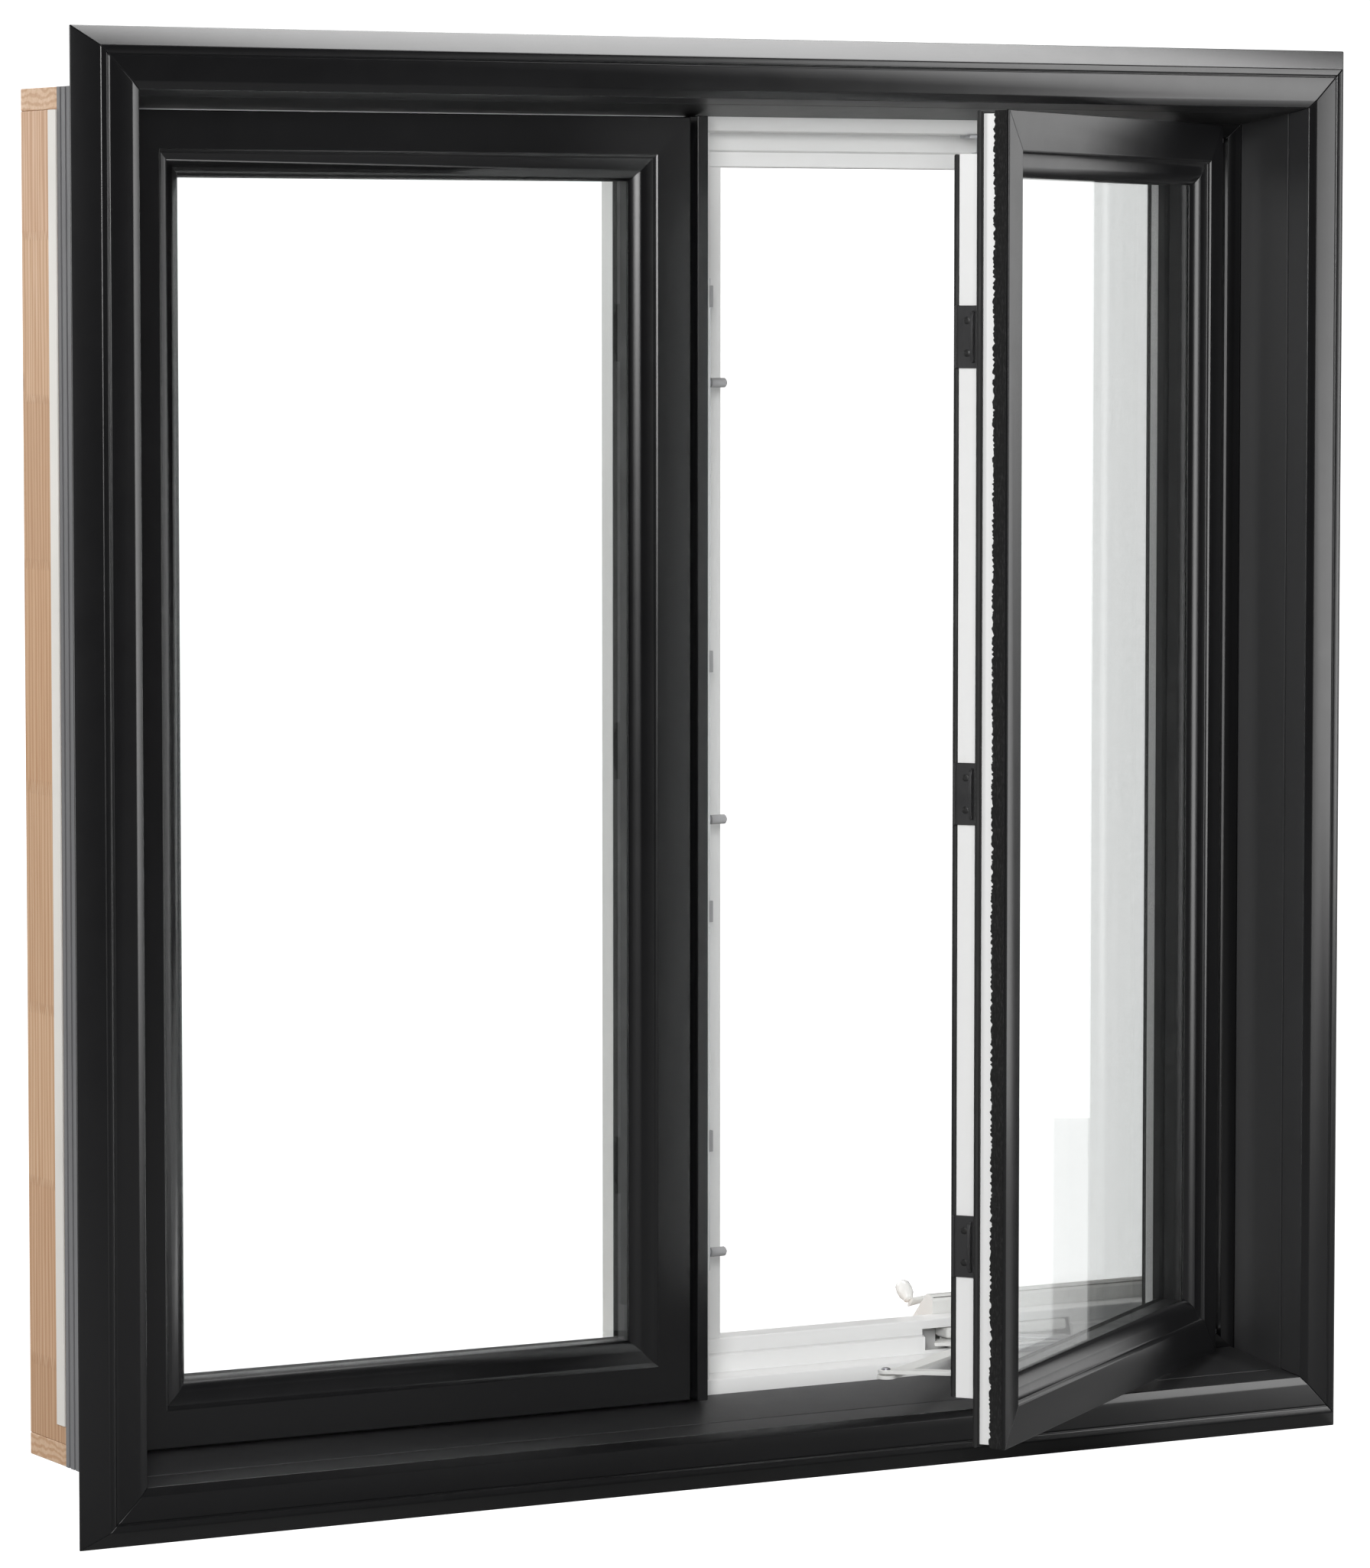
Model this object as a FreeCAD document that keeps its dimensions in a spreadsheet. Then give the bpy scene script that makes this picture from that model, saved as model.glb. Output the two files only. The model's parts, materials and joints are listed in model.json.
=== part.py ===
import FreeCAD, Part
import math
import os
import re

import Sketcher

# A two-light PVC casement window with black outside cladding. The left light is fixed and the right
# sash swings out on a sliding hinge at the sill and head. Millimetres. X runs to the right seen from
# outside, +Y into the room, +Z up. The origin is under the middle of the frame sill, and Y = 0 is the
# back of the exterior casing.

V = FreeCAD.Vector
UP = V(0, 0, 1)
ACROSS = V(0, 1, 0)

DIMENSIONS = {
    "casing_width": 1200, "casing_height": 1200, "casing_lap": 44,
    "frame_width": 1112, "frame_height": 1112, "frame_back": 124, "sill_lift": 3.8,
    "room_face": 196, "board": 18, "clip": 1.5, "clip_depth": 15,
    "fixing_depth": 82, "fixing_pitch": 270, "fixing_radius": 2.5,
    "mullion_x": -12.4, "cap_width": 10,
    "sash_front": 39.5, "sash_low": 23.3, "sash_high": 1092.5,
    "left_start": -536.6, "left_end": -23.9, "right_start": -0.9, "right_end": 536.6,
    "glass": 3, "glass_inset": 43, "outer_glass": 14, "glass_gap": 16, "tongue": 34, "tongue_back": 55,
    "opening": 38, "lane": 72, "hinge_pivot": 519.6, "pivot_gap": 105, "support_length": 136,
    "drive_reach": 190, "drive_offset": 12, "ledge": 34.3,
    "lock_travel": 40, "roller_radius": 4, "keeper_length": 50,
    "lever_z": 300, "lever_y": 140, "lever_length": 105,
    "crank_x": 324.6, "cover_x": 379, "cover_length": 230, "crank_reach": 62, "crank_height": 9.9,
}
KEEPER_HEIGHTS = (181, 547, 913)
KEEPER_SCREW_STEPS = (-13, 13)
GUIDE_HEIGHTS = (236, 430, 640, 945)
FIXING_STEPS = (-1.5, -0.5, 0.5, 1.5)

doc = FreeCAD.newDocument("casement_window")
sheet = doc.addObject("Spreadsheet::Sheet", "Dims")
for row, (alias, size) in enumerate(DIMENSIONS.items(), start=1):
    sheet.set(f"A{row}", str(size))
    sheet.setAlias(f"A{row}", alias)
doc.recompute()

ALIAS_WORDS = re.compile(r"\b(" + "|".join(DIMENSIONS) + r")\b")
nodes = {}


def dim(alias):
    """The value of one cell of the sheet."""
    return float(getattr(sheet, alias))


def bind(item, prop, value):
    """Bind one property to an expression in the sheet's words."""
    item.setExpression(prop, ALIAS_WORDS.sub(r"Dims.\1", str(value)))


def keep(item, label, placement=None):
    """Make an object a sub-part of the window, under its own label."""
    item.Label = label
    if placement is not None:
        item.Placement = placement
    nodes[label] = item
    return item


# ---- building blocks ----

def block(x0, x1, y0, y1, z0, z1):
    """A box between two corners, each coordinate a number or an expression."""
    item = doc.addObject("Part::Box", "block")
    for prop, low, high in (("Length", x0, x1), ("Width", y0, y1), ("Height", z0, z1)):
        bind(item, prop, f"({high}) - ({low})")
    for prop, low in (("x", x0), ("y", y0), ("z", z0)):
        bind(item, f"Placement.Base.{prop}", low)
    return item


def rod(start, direction, radius, length):
    """A cylinder from a point, along a direction."""
    item = doc.addObject("Part::Cylinder", "rod")
    bind(item, "Radius", radius)
    bind(item, "Height", length)
    item.Placement = FreeCAD.Placement(V(*start), FreeCAD.Rotation(UP, V(*direction)))
    return item


def fuse(*items):
    item = doc.addObject("Part::MultiFuse", "fuse")
    item.Shapes = list(items)
    return item


def cut(base, *tools):
    item = doc.addObject("Part::Cut", "cut")
    item.Base = base
    item.Tool = tools[0] if len(tools) == 1 else fuse(*tools)
    return item


def group(items):
    """Separate solids that share one node."""
    item = doc.addObject("Part::Compound", "group")
    item.Links = list(items)
    return item


def mirrored(item):
    """The same piece at the head, mirrored over the middle of the sash height."""
    twin = doc.addObject("Part::Mirroring", "mirrored")
    twin.Source = item
    twin.Normal = UP
    twin.Base = V(0, 0, (dim("sash_low") + dim("sash_high")) / 2)
    return twin


def both_ends(item):
    return group([item, mirrored(item)])


def origin_plane(body, role):
    return [plane for plane in body.Origin.OriginFeatures if plane.Role == role][0]


def add_outline(sketch, points):
    """A closed outline. A coordinate that is text is an expression in the sheet's words."""
    first = sketch.GeometryCount
    values = [[sheet_value(c) for c in point] for point in points]
    corners = [V(x, y, 0) for x, y in values]
    for here, there in zip(corners, corners[1:] + corners[:1]):
        sketch.addGeometry(Part.LineSegment(here, there), False)
    for i in range(len(points)):
        after = first + (i + 1) % len(points)
        sketch.addConstraint(Sketcher.Constraint("Coincident", first + i, 2, after, 1))
    for i, point in enumerate(points):
        for kind, text, value in zip(("DistanceX", "DistanceY"), point, values[i]):
            index = sketch.addConstraint(Sketcher.Constraint(kind, -1, 1, first + i, 1, value))
            if isinstance(text, str):
                bind(sketch, f"Constraints[{index}]", text)


def sheet_value(text):
    """The number that a coordinate has now."""
    if not isinstance(text, str):
        return float(text)
    return float(sheet.evalExpression(ALIAS_WORDS.sub(r"Dims.\1", text)))


def extrusion(label, plane, outlines, length, middle=True):
    """A body padded from outlines in one origin plane, as long as an expression says."""
    body = doc.addObject("PartDesign::Body", label)
    sketch = body.newObject("Sketcher::SketchObject", label + "_section")
    sketch.AttachmentSupport = [(origin_plane(body, plane), "")]
    sketch.MapMode = "FlatFace"
    for outline in outlines:
        add_outline(sketch, outline)
    pad = body.newObject("PartDesign::Pad", label + "_pad")
    pad.Profile = sketch
    pad.Midplane = middle
    bind(pad, "Length", length)
    return body


def pocket(body, plane, outlines, length=None):
    """A pocket both ways from an origin plane, right through or as long as given."""
    sketch = body.newObject("Sketcher::SketchObject", body.Name + "_cut")
    sketch.AttachmentSupport = [(origin_plane(body, plane), "")]
    sketch.MapMode = "FlatFace"
    for outline in outlines:
        add_outline(sketch, outline)
    feature = body.newObject("PartDesign::Pocket", body.Name + "_pocket")
    feature.Profile = sketch
    feature.Midplane = True
    if length is None:
        feature.Type = "ThroughAll"
    else:
        bind(feature, "Length", length)
    return feature


def mitred_bar(label, outlines, length, turn, base):
    """A bar of one section, inset on +Z and depth on Y, with both ends cut at 45 degrees."""
    deepest = max(sheet_value(u) for u, y in outlines[0])
    outermost = min(sheet_value(u) for u, y in outlines[0])
    section = [[(y, u) for u, y in outline] for outline in outlines]
    body = extrusion(label, "YZ_Plane", section, length)
    reach = deepest + 1
    ends = []
    for side in (-1, 1):
        tip = f"{side} * ({length}) / 2"
        beyond = f"{tip} + {side * 2}"
        ends.append([
            (beyond, outermost - 1),
            (f"{tip} + {side * (1 - outermost)}", outermost - 1),
            (f"{tip} + {-side * reach}", reach),
            (beyond, reach),
        ])
    for end in ends:
        pocket(body, "XZ_Plane", [end])
    body.Placement = FreeCAD.Placement(base, FreeCAD.Rotation(ACROSS, turn))
    return body


def four_bars(prefix, section, width, height, centre_x, low, high, lower_section=None):
    """The lower, upper, left and right bars of a mitred rectangle, in that order."""
    middle = (low + high) / 2
    half = sheet_value(width) / 2
    lower = lower_section or section
    spots = (
        ("bottom", lower, width, 0, V(centre_x, 0, low)),
        ("top", section, width, 180, V(centre_x, 0, high)),
        ("left", section, height, 90, V(centre_x - half, 0, middle)),
        ("right", section, height, -90, V(centre_x + half, 0, middle)),
    )
    return [mitred_bar(f"{prefix}_{name}", outlines, length, turn, base)
            for name, outlines, length, turn, base in spots]


def turned(pivot_closed, pivot_now, angle):
    """The placement that carries a piece from its closed place to its present one."""
    there = FreeCAD.Placement(pivot_now, FreeCAD.Rotation(UP, angle))
    return there.multiply(FreeCAD.Placement(pivot_closed * -1, FreeCAD.Rotation()))


# ---- sections, as (inset, depth) ----

def casing_section():
    """The moulded exterior casing: a shell with a V groove and a leg that clips on the frame."""
    return [[
        (0, 0), (0, -1.5), (15.4, -23), (16.6, -24), (21.6, -24), (22.6, -22.8), (23.6, -24),
        (42.4, -24), (44, -23.6), (49.8, -21.5), (53.9, 2.2), (50.9, 2.2), (47, -19),
        (44.5, -20.5), (44.5, -4), (42.5, -4), (42.5, -21), (17.6, -21), (3, 0),
    ]]


def frame_cladding_section(lift):
    """The sloped black return between the casing and the sash."""
    return [[
        (3, 3.6), (9.9, 3.6), (f"18 + {lift}", 62), (f"18 + {lift}", 63.2), (12, 63.2),
        (12, 61.8), (f"16.3 + {lift}", 61.8), (8.6, 5), (3, 5),
    ]]


def frame_section(lift):
    """The white frame profile with its nose, channel, stop and three chambers."""
    outer = [
        (0, -2), (0.5, -2), (0.5, -12), (2.5, -12), (2.5, 5), (8.2, 5),
        (f"15.9 + {lift}", 61.4), (11.6, 61.4), (11.6, 64),
        (f"20 + {lift}", 64), (f"29.5 + {lift}", 67), (f"30.5 + {lift}", 69.5),
        (f"30.5 + {lift}", 94), (f"45 + {lift}", 94), (f"46.5 + {lift}", 99),
        (f"58 + {lift}", 99), (f"59 + {lift}", 100), (f"59 + {lift}", "frame_back"),
        (0, "frame_back"), (0, 118), (1.5, 118), (1.5, 115), (0, 115), (0, 108), (1.5, 108),
        (1.5, 105), (0, 105),
    ]
    front = [(4, 22), (8.5, 22), (13, 58), (4, 58)]
    nose = [(4, 67), (26, 67), (26, 91), (4, 91)]
    stop = [(4, 98), (42, 98), (55, 103), (55, 120), (4, 120)]
    return [outer, front, nose, stop]


def post_section():
    """Half-widths of the mullion post: the frame's nose, channel and stop on both sides."""
    side = [(12, 64), (21.5, 67), (22.5, 69.5), (22.5, 94), (37, 94), (38.5, 99), (50, 99),
            (51, 100), (51, "frame_back")]
    outer = side + [(-m, y) for m, y in reversed(side)]
    front = [(-20, 71.5), (20, 71.5), (20, 96), (-20, 96)]
    back = [(-47, 103), (47, 103), (47, 120), (-47, 120)]
    return [outer, front, back]


def sash_depth(points):
    """Depths measured from the sash's exterior face, moved to the window's own Y."""
    return [(s, f"sash_front + {t}") for s, t in points]


def sash_section():
    """The white sash profile with its glazing leg and one chamber."""
    outer = [
        (2, 1.6), (30.4, 1.6), (32.2, 4.6), (37.4, 6.2), (43, 6.8), (44.2, 7.6), (48.4, 10.4),
        (50.4, 13.2), (50.4, 14), (40, 14), (40, 55), (34, 55), (34, 23), (3, 23), (3, 12.2),
        (2, 12.2),
    ]
    chamber = [(6, 6), (27, 6), (36, 10), (36, 17), (6, 17)]
    return [sash_depth(outer), sash_depth(chamber)]


def sash_cladding_section():
    """The black sash cladding, stepped down to the glass."""
    return [sash_depth([
        (0, 3), (0, 0.6), (0.6, 0), (31, 0), (32.5, 0.8), (34, 2.6), (38, 4.2), (43.5, 4.8),
        (45, 5.4), (50, 8.6), (52.6, 12.4), (53, 13.4), (51.2, 13.4), (50.8, 12.8), (48.6, 9.9),
        (44.4, 7.1), (43, 6.4), (37.6, 5.8), (32.8, 4.2), (31.2, 2), (30.6, 1.6), (1.6, 1.6),
        (1.6, 3),
    ])]


def bead_section():
    """The room-side glazing bead, sloped towards the glass."""
    return [sash_depth([(40, 36), (50, 36), (53, 39), (50, 46), (42, 55), (40, 55)])]


# ---- outer casing, frame, mullion and the timber extension ----

SIDES = ("sill", "head", "jamb_left", "jamb_right")


def casing():
    lap = dim("casing_lap")
    bars = four_bars("casing", casing_section(), "casing_width", "casing_height", 0,
                     -lap, dim("frame_height") + lap)
    for side, bar in zip(SIDES, bars):
        keep(bar, f"casing_{side}")


def frame():
    """White frame bars and their black cladding. The sill is a little deeper than the rest."""
    size = ("frame_width", "frame_height", 0, 0, dim("frame_height"))
    cladding = four_bars("cladding", frame_cladding_section(0), *size,
                         lower_section=frame_cladding_section("sill_lift"))
    bars = four_bars("frame", frame_section(0), *size, lower_section=frame_section("sill_lift"))
    for side, skin, bar in zip(SIDES, cladding, bars):
        keep(skin, f"frame_cladding_{side}")
        if side.startswith("jamb"):
            fixing_holes(bar)
    centre = dim("hinge_pivot") - dim("pivot_gap") - dim("support_length")
    slot = block("crank_x - 60", "crank_x + 60", 93, "frame_back + 1", 37.3, 55)
    recess = block(centre - 40, centre + 40, 93, 113, 37.3, 55)
    sill = cut(bars[0], slot, recess)
    for side, bar in zip(SIDES, [sill] + bars[1:]):
        keep(bar, f"frame_{side}")


def fixing_holes(bar):
    """A line of screw holes through a jamb, in the channel between nose and stop."""
    sketch = bar.newObject("Sketcher::SketchObject", bar.Name + "_holes")
    sketch.AttachmentSupport = [(origin_plane(bar, "XY_Plane"), "")]
    sketch.MapMode = "FlatFace"
    radius = dim("fixing_radius")
    for i, step in enumerate(FIXING_STEPS):
        spot = V(step * dim("fixing_pitch"), dim("fixing_depth"), 0)
        sketch.addGeometry(Part.Circle(spot, UP, radius), False)
        for kind, text, value in (("DistanceX", f"{step} * fixing_pitch", spot.x),
                                  ("DistanceY", "fixing_depth", spot.y)):
            index = sketch.addConstraint(Sketcher.Constraint(kind, -1, 1, i, 3, value))
            bind(sketch, f"Constraints[{index}]", text)
        index = sketch.addConstraint(Sketcher.Constraint("Radius", i, radius))
        bind(sketch, f"Constraints[{index}]", "fixing_radius")
    holes = bar.newObject("PartDesign::Pocket", bar.Name + "_drill")
    holes.Profile = sketch
    holes.Midplane = True
    holes.Type = "ThroughAll"


def mullion():
    """The white post between the lights and the narrow black cap in front of it."""
    post = extrusion("post", "XY_Plane", post_section(), "frame_height - 30.5 - ledge", False)
    post.Placement.Base = V(dim("mullion_x"), 0, dim("ledge"))
    stops = [block(-100, 100, 94, "frame_back + 1", 0, "59 + sill_lift"),
             block(-100, 100, 94, "frame_back + 1", "frame_height - 59", "frame_height")]
    keep(cut(post, *stops), "mullion_post")
    keep(block("mullion_x - cap_width / 2", "mullion_x + cap_width / 2", "sash_front", 64,
               22, "frame_height - 18.2"), "mullion_cap")


def extension():
    """A timber box behind the frame, with a pale clip strip along each side board."""
    half = "frame_width / 2"
    depth = ("frame_back", "room_face")
    keep(block(f"-{half}", half, *depth, 0, "board"), "extension_sill")
    keep(block(f"-{half}", half, *depth, "frame_height - board", "frame_height"), "extension_head")
    inside = ("board", "frame_height - board")
    keep(block(f"-{half}", f"board - {half}", *depth, *inside), "extension_jamb_left")
    keep(block(f"{half} - board", half, *depth, *inside), "extension_jamb_right")
    strip = ("frame_back", "frame_back + clip_depth", "board + 15", "frame_height - board")
    left = block(f"-{half} - clip", f"-{half}", *strip)
    right = block(half, f"{half} + clip", *strip)
    keep(group([left, right]), "extension_clips")


# ---- sashes ----

def ring(start, end, inset, thickness, front, back):
    """A rectangular ring round a sash: inset from the leaf edge, between two depths."""
    def slab(gap, near, far):
        return block(f"{start} + {gap}", f"{end} - {gap}", f"sash_front + {near}",
                     f"sash_front + {far}", f"sash_low + {gap}", f"sash_high - {gap}")
    return cut(slab(inset, front, back), slab(inset + thickness, front - 1, back + 1))


def sash(side, start, end, place=None):
    """One glazed sash between two leaf edges: bars, cladding, panes, spacer, beads and seals."""
    low, high = dim("sash_low"), dim("sash_high")
    width, height = f"{end} - {start}", "sash_high - sash_low"
    centre = (dim(start) + dim(end)) / 2

    def bars(kind, section):
        return four_bars(f"{side}_{kind}", section, width, height, centre, low, high)

    def moved(items):
        for item in items:
            if place is not None:
                item.Placement = place.multiply(item.Placement)
        return items

    names = ("rail_bottom", "rail_top", "stile_left", "stile_right")
    profile = moved(bars("profile", sash_section()))
    skin = moved(bars("skin", sash_cladding_section()))
    if place is None:
        keep(group(profile), f"{side}_sash_frame")
        keep(group(skin), f"{side}_sash_cladding")
    else:
        for name, bar, cover in zip(names, profile, skin):
            keep(bar, f"{side}_{name}")
            keep(cover, f"{side}_{name}_cladding")

    def pane(depth):
        return block(f"{start} + glass_inset", f"{end} - glass_inset", f"sash_front + {depth}",
                     f"sash_front + {depth} + glass", "sash_low + glass_inset",
                     "sash_high - glass_inset")

    outer_pane, inner_pane = pane("outer_glass"), pane("outer_glass + glass + glass_gap")
    outer_seal = ring(start, end, 4, 4, 23, 25)
    inner_seal = ring(start, end, 35, 4.6, 55, 58.7)
    if place is None:
        keep(group([outer_pane, inner_pane]), f"{side}_glass_panes")
        keep(group([outer_seal, inner_seal]), f"{side}_sash_seals")
    else:
        keep(group([outer_pane]), f"{side}_outer_pane", place)
        keep(group([inner_pane]), f"{side}_inner_pane", place)
        keep(outer_seal, f"{side}_outer_seal", place)
        keep(inner_seal, f"{side}_inner_seal", place)
        keep(ring(start, end, 0.3, 1.7, 3.2, 12), f"{side}_pile_strip", place)
    keep(ring(start, end, 44, 8, 17, 33), f"{side}_spacer", place)
    keep(group(bars("bead", bead_section())), f"{side}_glazing_beads", place)


# ---- lock on the right sash and the mullion ----

def keepers(place):
    """Three keepers on the lock stile, each a plate with a lug that the roller pulls on."""
    face = "right_start + tongue"
    plates = []
    screws = []
    for height in KEEPER_HEIGHTS:
        low, high = f"{height} - keeper_length / 2", f"{height} + keeper_length / 2"
        plate = block(f"{face} - 2", face, 75, 94, low, high)
        lug = block(f"{face} - 8", f"{face} - 2", 79.8, 82.6, f"{low} + 3", f"{high} - 3")
        rim = block(f"{face} - 3.4", f"{face} - 2", 91.6, 94, low, high)
        spots = [V(dim("right_start"), 87, height + step) for step in KEEPER_SCREW_STEPS]
        holes = [rod(tuple(spot + V(28, 0, 0)), (1, 0, 0), 2, 8) for spot in spots]
        plates.append(cut(fuse(plate, lug, rim), *holes))
        for spot in spots:
            shank = rod(tuple(spot + V(31, 0, 0)), (1, 0, 0), 1.7, 3)
            head = rod(tuple(spot + V(30.8, 0, 0)), (1, 0, 0), 3.1, 1.2)
            screws.append(fuse(shank, head))
    keep(group(plates), "keepers", place)
    keep(group(screws), "keeper_screws", place)


def lock():
    """Tie bar with three rollers on the mullion's side, its guides, and the lever in the room."""
    side = dim("mullion_x") + 22.5
    near, far = side + 0.3, side + 2.8
    lowest = KEEPER_HEIGHTS[0] - dim("lock_travel")
    keep(block(near, far, 71.8, 88, lowest - 15, 960), "lock_bar")
    rollers = [rod((far, 75.4, height - dim("lock_travel")), (1, 0, 0), "roller_radius", 17)
               for height in KEEPER_HEIGHTS]
    keep(group(rollers), "lock_rollers")
    guides = []
    for height in GUIDE_HEIGHTS:
        bridge = block(side, far + 1.8, 70, 90.5, height - 9, height + 9)
        passage = block(side - 1, far + 0.3, 71.4, 88.4, height - 10, height + 10)
        guides.append(cut(bridge, passage))
    keep(group(guides), "lock_guides")

    x, back = side + 13.5, dim("frame_back")
    plate = block(x - 14, x + 14, back, back + 5, "lever_z - 45", "lever_z + 45")
    cheeks = [block(x + a, x + b, back + 4, "lever_y + 6", "lever_z - 9", "lever_z + 9")
              for a, b in ((-12, -8), (8, 12))]
    eye = rod((x - 13, dim("lever_y"), dim("lever_z")), (1, 0, 0), 3.4, 26)
    keep(cut(fuse(plate, *cheeks), eye), "lock_escutcheon")

    hub = rod((x - 7.4, dim("lever_y"), dim("lever_z")), (1, 0, 0), 8, 14.8)
    pin = rod((x - 12, dim("lever_y"), dim("lever_z")), (1, 0, 0), 3, 24)
    arm = block(-6.5, 6.5, -4, 4, 0, "lever_length")
    grip = block(-7.4, 7.4, -5, 6, "lever_length - 55", "lever_length")
    lean = FreeCAD.Rotation(V(-1, 0, 0), 20)
    pivot = V(x, dim("lever_y"), dim("lever_z"))
    handle = fuse(arm, grip)
    handle.Placement = FreeCAD.Placement(pivot, lean)
    keep(fuse(hub, pin, handle), "lock_lever")


# ---- hinges and operator ----

def link(start, end, radius, low, high, bores):
    """A flat link with round ends, bored at its pivots."""
    middle, span = (start + end) / 2, end - start
    angle = math.degrees(math.atan2(span.y, span.x))
    strap = group([block(-span.Length / 2, span.Length / 2, -radius, radius, low, high)])
    strap.Placement = FreeCAD.Placement(middle, FreeCAD.Rotation(UP, angle))
    ends = [rod((p.x, p.y, low), UP, radius, high - low) for p in (start, end)]
    holes = [rod((p.x, p.y, low - 1), UP, bore, high - low + 2)
             for p, bore in zip((start, end), bores)]
    return cut(fuse(strap, *ends), *holes)


def linkage():
    """Pivots of the hinge, closed and at the present opening.

    The support arm turns about A and carries the sash at B, halfway between the track and the
    sash's end pivot P. A short link holds P to a shoe S that slides in the track under the lane.
    """
    lane, long_arm, gap = dim("lane"), dim("support_length"), dim("pivot_gap")
    angle = math.radians(dim("opening"))
    end = dim("hinge_pivot")
    fixed = V(end - gap - long_arm, lane, 0)
    closed = {
        "A": fixed,
        "B": V(end - gap, lane, 0),
        "P": V(end, lane, 0),
        "S": V(fixed.x + 2 * gap, lane, 0),
        "D": fixed + V(-dim("drive_reach"), dim("drive_offset"), 0),
    }
    closed["Q"] = closed["D"] + V(long_arm, 0, 0)
    drive = FreeCAD.Rotation(UP, dim("opening")).multVec(closed["D"] - fixed)
    now = {
        "A": fixed,
        "B": fixed + V(math.cos(angle), -math.sin(angle), 0) * long_arm,
        "P": fixed + V((long_arm + gap) * math.cos(angle), (gap - long_arm) * math.sin(angle), 0),
        "S": fixed + V(2 * gap * math.cos(angle), 0, 0),
        "D": fixed + drive,
    }
    return closed, now


def hinges(closed, now, sash_place):
    """Track, shoe, link, support arm and sash plate, at the sill and mirrored at the head."""
    lane, ledge, opening = dim("lane"), dim("ledge"), dim("opening")
    fixed = closed["A"]
    strip = block(fixed.x - 17, "hinge_pivot", lane - 8, lane + 8, "ledge", "ledge + 2.5")
    ribs = [block(fixed.x + 22, "hinge_pivot", lane + a, lane + b, ledge + 2.5, ledge + 4)
            for a, b in ((-8, -6.5), (6.5, 8))]
    post = rod((fixed.x, lane, ledge), UP, 5, 18)
    keep(both_ends(fuse(strip, *ribs, post)), "hinge_tracks")

    arm = both_ends(link(closed["A"], closed["B"], 9, 49, 51.5, (5.3, 2.9)))
    keep(arm, "support_arms", turned(fixed, fixed, -opening))

    short = both_ends(link(closed["S"], closed["P"], 4.6, 49, 51.5, (2.9, 2.9)))
    keep(short, "shoe_links", turned(closed["S"], now["S"], -opening))

    slider = closed["S"]
    shoe = block(slider.x - 14, slider.x + 14, lane - 6, lane + 6, 37.1, 40.9)
    stud = rod((slider.x, lane, 40), UP, 2.5, 12.5)
    keep(both_ends(fuse(shoe, stud)), "hinge_shoes", turned(slider, now["S"], 0))

    plate = block(closed["B"].x - 60, closed["P"].x, lane - 5, lane + 5, 54.3, 57.3)
    round_end = rod((closed["P"].x, lane, 54.3), UP, 5, 3)
    flange = block(closed["B"].x - 60, closed["B"].x + 70, lane + 4, lane + 18, 54.3, 57.3)
    pins = [rod((closed[k].x, lane, 48), UP, 2.5, 7) for k in ("B", "P")]
    keep(both_ends(fuse(plate, round_end, flange, *pins)), "sash_hinge_plates", sash_place)


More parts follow.
